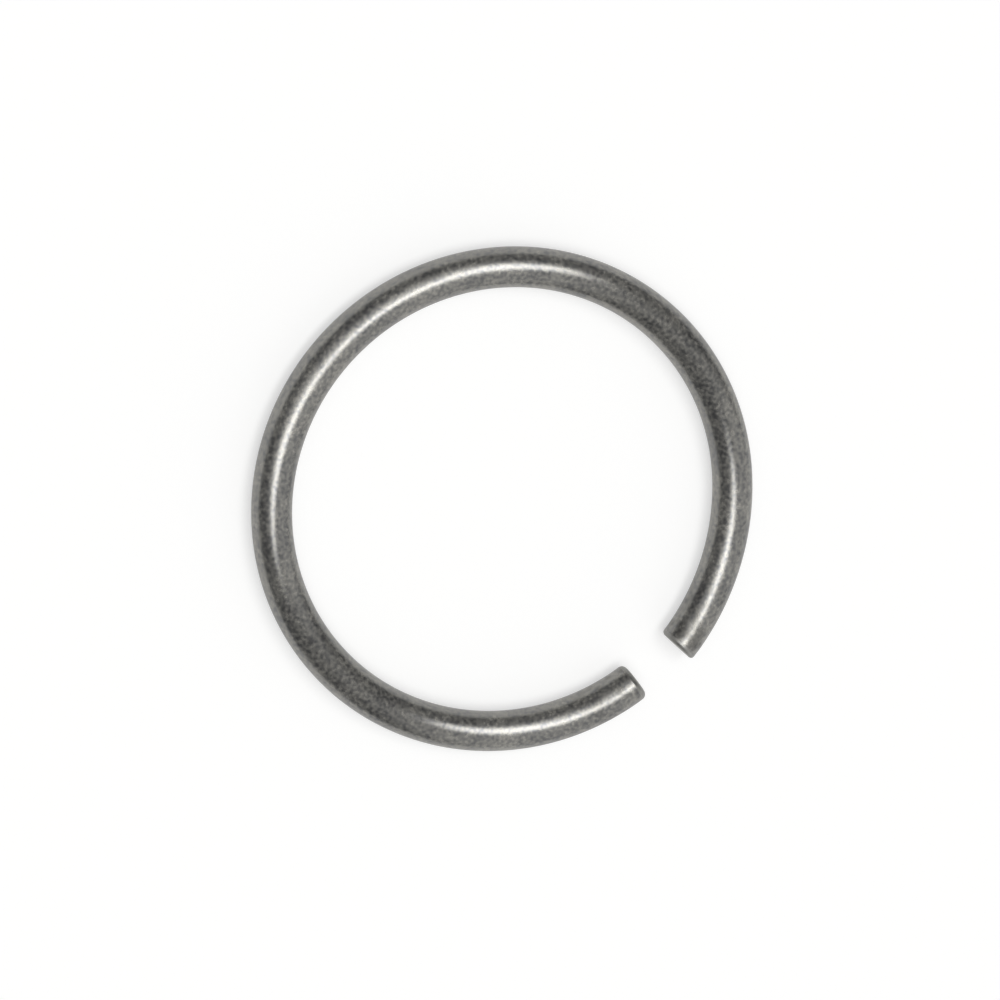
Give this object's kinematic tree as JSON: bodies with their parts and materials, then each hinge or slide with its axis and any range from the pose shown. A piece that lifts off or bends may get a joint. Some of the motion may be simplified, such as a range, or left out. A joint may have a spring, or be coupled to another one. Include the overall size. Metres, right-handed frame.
{
  "type": "round wire retaining ring",
  "caption": "Open ring of round spring steel wire with two plain sheared ends, sprung into a groove in a shaft to hold a part endwise.",
  "frame": {"origin": "centre of the free ring, on the shaft's axis and in the middle of the wire's thickness", "axes": "+Z along the shaft's axis, through the flat of the ring; +Y from the centre towards the gap; +X to the right-hand side of the ring seen from +Z with the gap at the top"},
  "size_m": [0.0254, 0.0255, 0.002],
  "materials": {
    "spring_steel": "hard-drawn wire, tumbled and oiled, satin"
  },
  "bodies": {
    "root": {"retaining_ring": "spring_steel"}
  },
  "joints": []
}
